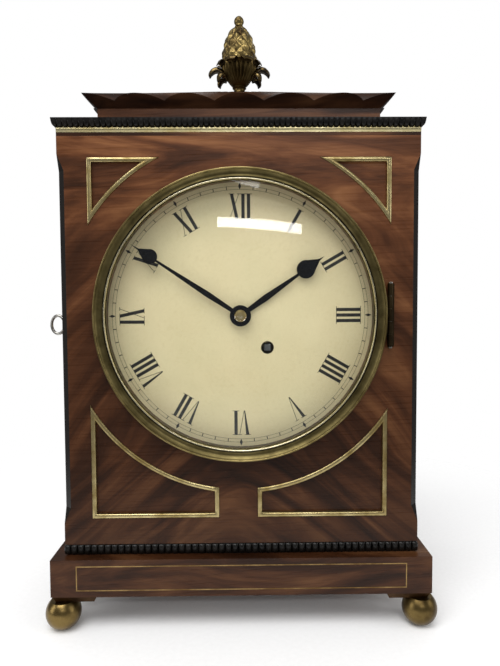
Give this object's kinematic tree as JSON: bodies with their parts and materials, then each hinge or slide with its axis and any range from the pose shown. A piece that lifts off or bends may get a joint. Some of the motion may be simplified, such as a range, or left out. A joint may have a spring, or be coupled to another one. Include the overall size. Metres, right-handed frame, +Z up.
{
  "type": "bracket clock",
  "caption": "Mahogany bracket clock with a round convex dial, hinged brass bezel, gadrooned top with a pineapple finial, ball feet, glazed back door and a fusee movement with its pendulum.",
  "frame": {"origin": "on the floor under the middle of the case body, between the four ball feet", "axes": "+Z up, +X to the right as the dial is faced, +Y from the dial to the back door"},
  "size_m": [0.2995, 0.1763, 0.4921],
  "materials": {
    "mahogany": "polished",
    "ebonised_wood": "polished",
    "aged_brass": "aged",
    "bezel_bronze": "aged",
    "bright_brass": "satin",
    "steel": "satin",
    "blued_steel": "gloss",
    "dial_paint": "gloss",
    "glass": "clear"
  },
  "bodies": {
    "case": {"base_plinth": "mahogany", "base_board": "mahogany", "case_front": "mahogany", "side_left": "mahogany", "side_right": "mahogany", "frieze": "mahogany", "cornice_board": "mahogany", "top_plinth": "mahogany", "gadrooned_top": "mahogany", "back_frame": "mahogany", "seat_board": "mahogany", "seat_bearers": "mahogany", "bead_moulding": "ebonised_wood", "cornice_moulding": "ebonised_wood", "ball_feet": "aged_brass", "foot_plates": "aged_brass", "base_inlay": "aged_brass", "panel_frames_upper": "aged_brass", "panel_frames_lower": "aged_brass", "brass_strip": "aged_brass", "finial_cup": "aged_brass", "finial_fruit": "aged_brass", "finial_leaves": "aged_brass", "key_escutcheon": "aged_brass", "door_hinges": "aged_brass", "case_hinge_leaf": "aged_brass", "front_plate": "bright_brass", "back_plate": "bright_brass", "pillars": "bright_brass", "back_cock": "bright_brass", "lock_case": "bright_brass", "finial_rod": "steel", "bezel_hinge_pin": "steel", "barrel_arbor": "steel", "dial_plate": "dial_paint"},
    "bezel": {"bezel_ring": "bezel_bronze", "sight_ring": "bright_brass", "bezel_glass": "glass", "bezel_hinge_leaf": "aged_brass"},
    "back_door": {"back_door_frame": "mahogany", "back_door_glass": "glass"},
    "door_turn": {"back_door_knob": "aged_brass"},
    "key": {"key": "steel"},
    "lock_bolt": {"lock_bolt": "steel"},
    "centre_arbor": {"centre_wheel": "bright_brass", "cannon_pinion": "bright_brass", "minute_hand": "blued_steel", "hand_collet": "bright_brass"},
    "hour_pipe": {"hour_wheel": "bright_brass", "hour_hand": "blued_steel"},
    "minute_wheel": {"minute_wheel": "bright_brass"},
    "third_arbor": {"third_wheel": "bright_brass"},
    "escape_arbor": {"escape_wheel": "bright_brass"},
    "great_wheel": {"great_wheel": "bright_brass"},
    "fusee": {"fusee": "bright_brass"},
    "barrel": {"barrel": "bright_brass"},
    "anchor": {"anchor": "steel"},
    "pendulum": {"pendulum_rod": "steel", "pendulum_bob": "bright_brass"},
    "rating_nut": {"rating_nut": "bright_brass"}
  },
  "joints": [
    {"name": "bezel_hinge", "type": "hinge", "parent": "case", "child": "bezel", "pos_m": [0.1112, -0.0791, 0.2363], "axis": [0, 0, 1], "range_deg": [0, 110]},
    {"name": "back_door_hinge", "type": "hinge", "parent": "case", "child": "back_door", "pos_m": [-0.10385, 0.0774, 0.2363], "axis": [0, 0, 1], "range_deg": [0, 105]},
    {"name": "door_turn", "type": "hinge", "parent": "back_door", "child": "door_turn", "pos_m": [0.09185, 0.075, 0.2363], "axis": [0, 1, 0], "range_deg": [-90, 0]},
    {"name": "key_turn", "type": "hinge", "parent": "case", "child": "key", "pos_m": [-0.13425, -0.049, 0.2297], "axis": [-1, 0, 0], "range_deg": [0, 90]},
    {"name": "lock_bolt_slide", "type": "slide", "parent": "case", "child": "lock_bolt", "axis": [0, 0, 1], "range_m": [0, 0.0035]},
    {"name": "minute_hand_turn", "type": "hinge", "parent": "case", "child": "centre_arbor", "pos_m": [0, 0, 0.2363], "axis": [0, 1, 0], "continuous": true},
    {"name": "hour_hand_turn", "type": "hinge", "parent": "case", "child": "hour_pipe", "pos_m": [0, 0, 0.2363], "axis": [0, 1, 0], "continuous": true},
    {"name": "minute_wheel_turn", "type": "hinge", "parent": "case", "child": "minute_wheel", "pos_m": [-0.01803, 0, 0.21827], "axis": [0, 1, 0], "continuous": true},
    {"name": "third_wheel_turn", "type": "hinge", "parent": "case", "child": "third_arbor", "pos_m": [-0.01439, 0, 0.2595], "axis": [0, 1, 0], "continuous": true},
    {"name": "great_wheel_turn", "type": "hinge", "parent": "case", "child": "great_wheel", "pos_m": [0.02049, 0, 0.21181], "axis": [0, 1, 0], "continuous": true},
    {"name": "escape_wheel_turn", "type": "hinge", "parent": "case", "child": "escape_arbor", "pos_m": [0, 0, 0.27758], "axis": [0, 1, 0], "continuous": true},
    {"name": "fusee_winding", "type": "hinge", "parent": "great_wheel", "child": "fusee", "pos_m": [0.02049, 0, 0.21181], "axis": [0, 1, 0], "range_deg": [0, 5760]},
    {"name": "barrel_turn", "type": "hinge", "parent": "case", "child": "barrel", "pos_m": [-0.036, 0, 0.2013], "axis": [0, 1, 0], "range_deg": [0, 3456]},
    {"name": "pendulum_swing", "type": "hinge", "parent": "case", "child": "pendulum", "pos_m": [0, 0.017, 0.29878], "axis": [0, 1, 0], "range_deg": [-2.5, 2.5]},
    {"name": "anchor_rock", "type": "hinge", "parent": "case", "child": "anchor", "pos_m": [0, 0, 0.29878], "axis": [0, 1, 0], "range_deg": [-2.5, 2.5]},
    {"name": "rating_nut_turn", "type": "hinge", "parent": "pendulum", "child": "rating_nut", "pos_m": [0, 0.017, 0.07878], "axis": [0, 0, 1], "continuous": true}
  ],
  "couplings": [
    {"joint": "lock_bolt_slide", "follows": "key_turn", "m_per_rad": 0.0022282},
    {"joint": "hour_hand_turn", "follows": "minute_hand_turn", "ratio": 0.083333},
    {"joint": "minute_wheel_turn", "follows": "minute_hand_turn", "ratio": -1},
    {"joint": "third_wheel_turn", "follows": "minute_hand_turn", "ratio": -12},
    {"joint": "great_wheel_turn", "follows": "minute_hand_turn", "ratio": -0.083333},
    {"joint": "barrel_turn", "follows": "fusee_winding", "ratio": 0.6},
    {"joint": "anchor_rock", "follows": "pendulum_swing", "ratio": 1}
  ]
}
